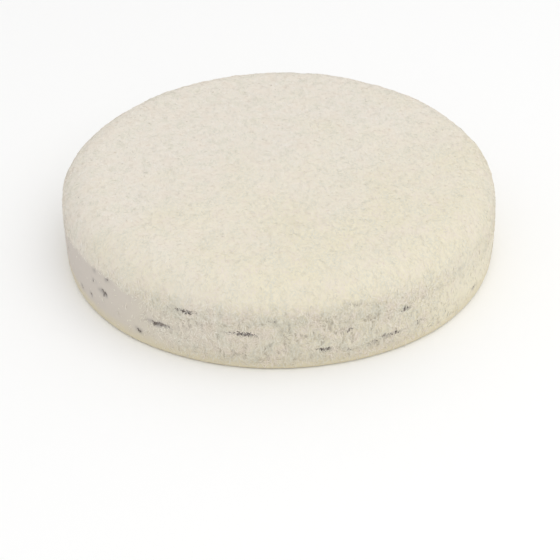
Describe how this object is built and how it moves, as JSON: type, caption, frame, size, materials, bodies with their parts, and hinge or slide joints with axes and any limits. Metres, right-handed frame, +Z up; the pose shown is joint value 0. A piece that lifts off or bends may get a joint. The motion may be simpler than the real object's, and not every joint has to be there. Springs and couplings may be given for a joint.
{
  "type": "biscuit cake",
  "caption": "Whole round low cake with a soft rounded edge, coated all over in cream and fine desiccated coconut, flat underneath.",
  "frame": {"origin": "middle of the flat underside, on the surface the cake rests on", "axes": "+Z up through the middle of the cake; -Y is the side towards the viewer; +X to the viewer's right"},
  "size_m": [0.2624, 0.261, 0.0582],
  "materials": {
    "cream_coat": "hand-spread pale cream, dull, warmer towards the foot",
    "coconut": "dry desiccated coconut, dull off-white grains and short shreds",
    "biscuit": "soaked grey-brown biscuit ends, dull, seen only in small gaps of the coat"
  },
  "bodies": {
    "root": {"cake": "cream_coat"}
  },
  "joints": []
}
